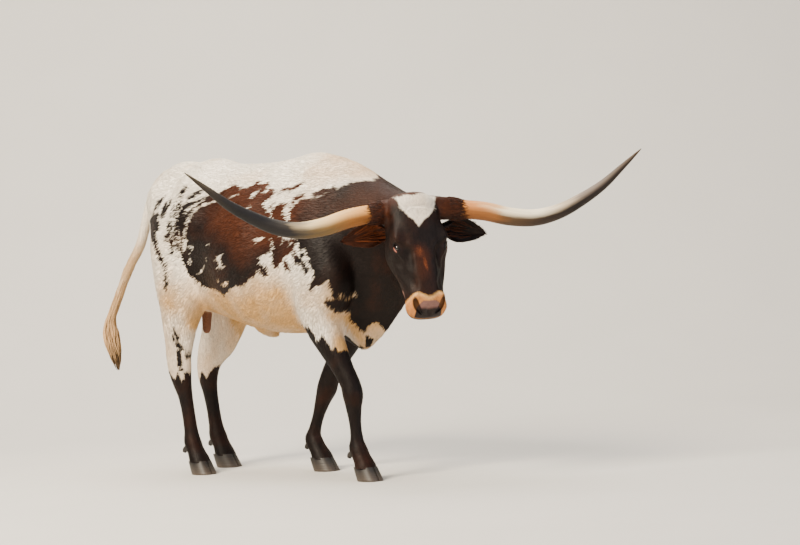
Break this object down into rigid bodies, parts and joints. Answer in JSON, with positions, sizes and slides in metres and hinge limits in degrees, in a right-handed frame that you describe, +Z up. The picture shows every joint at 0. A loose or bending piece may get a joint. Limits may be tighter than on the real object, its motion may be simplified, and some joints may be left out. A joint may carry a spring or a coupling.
{
  "type": "texas longhorn",
  "caption": "Life-size standing figure of a walking texas longhorn steer with wide upswept horns, head turned to its right, patched white and brown coat.",
  "frame": {"origin": "on the floor under the middle of the whole's bounding box, horns and tail included", "axes": "+X towards the animal's front along its trunk, +Y to its left, +Z up; the head is turned to its right, towards -Y"},
  "size_m": [2.6923, 1.5374, 1.441],
  "materials": {
    "coat_white_and_brown": "short soft hair, white with large red-brown patches",
    "coat_dark_brown": "short glossy dark brown hair",
    "coat_cream": "short cream hair",
    "coat_legs": "short hair, cream above and nearly black below",
    "bare_skin": "thin brown skin",
    "tail_hair": "long coarse tan and brown hair",
    "horn": "worn ivory and grey horn",
    "hoof": "dull dark horn",
    "eye": "wet dark brown"
  },
  "bodies": {
    "root": {"ear_left": "coat_dark_brown", "ear_right": "coat_dark_brown", "eye_left": "eye", "eye_right": "eye", "foreclaw_left_inner": "hoof", "foreclaw_left_outer": "hoof", "foreclaw_right_inner": "hoof", "foreclaw_right_outer": "hoof", "foredewclaw_left_inner": "hoof", "foredewclaw_left_outer": "hoof", "foredewclaw_right_inner": "hoof", "foredewclaw_right_outer": "hoof", "foreleg_left": "coat_legs", "foreleg_right": "coat_legs", "groin_pouch": "bare_skin", "head": "coat_dark_brown", "hindclaw_left_inner": "hoof", "hindclaw_left_outer": "hoof", "hindclaw_right_inner": "hoof", "hindclaw_right_outer": "hoof", "hinddewclaw_left_inner": "hoof", "hinddewclaw_left_outer": "hoof", "hinddewclaw_right_inner": "hoof", "hinddewclaw_right_outer": "hoof", "hindleg_left": "coat_legs", "hindleg_right": "coat_legs", "horn_left": "horn", "horn_right": "horn", "navel_sheath": "coat_cream", "neck": "coat_dark_brown", "tail": "coat_cream", "tail_switch": "tail_hair", "torso": "coat_white_and_brown"}
  },
  "joints": []
}
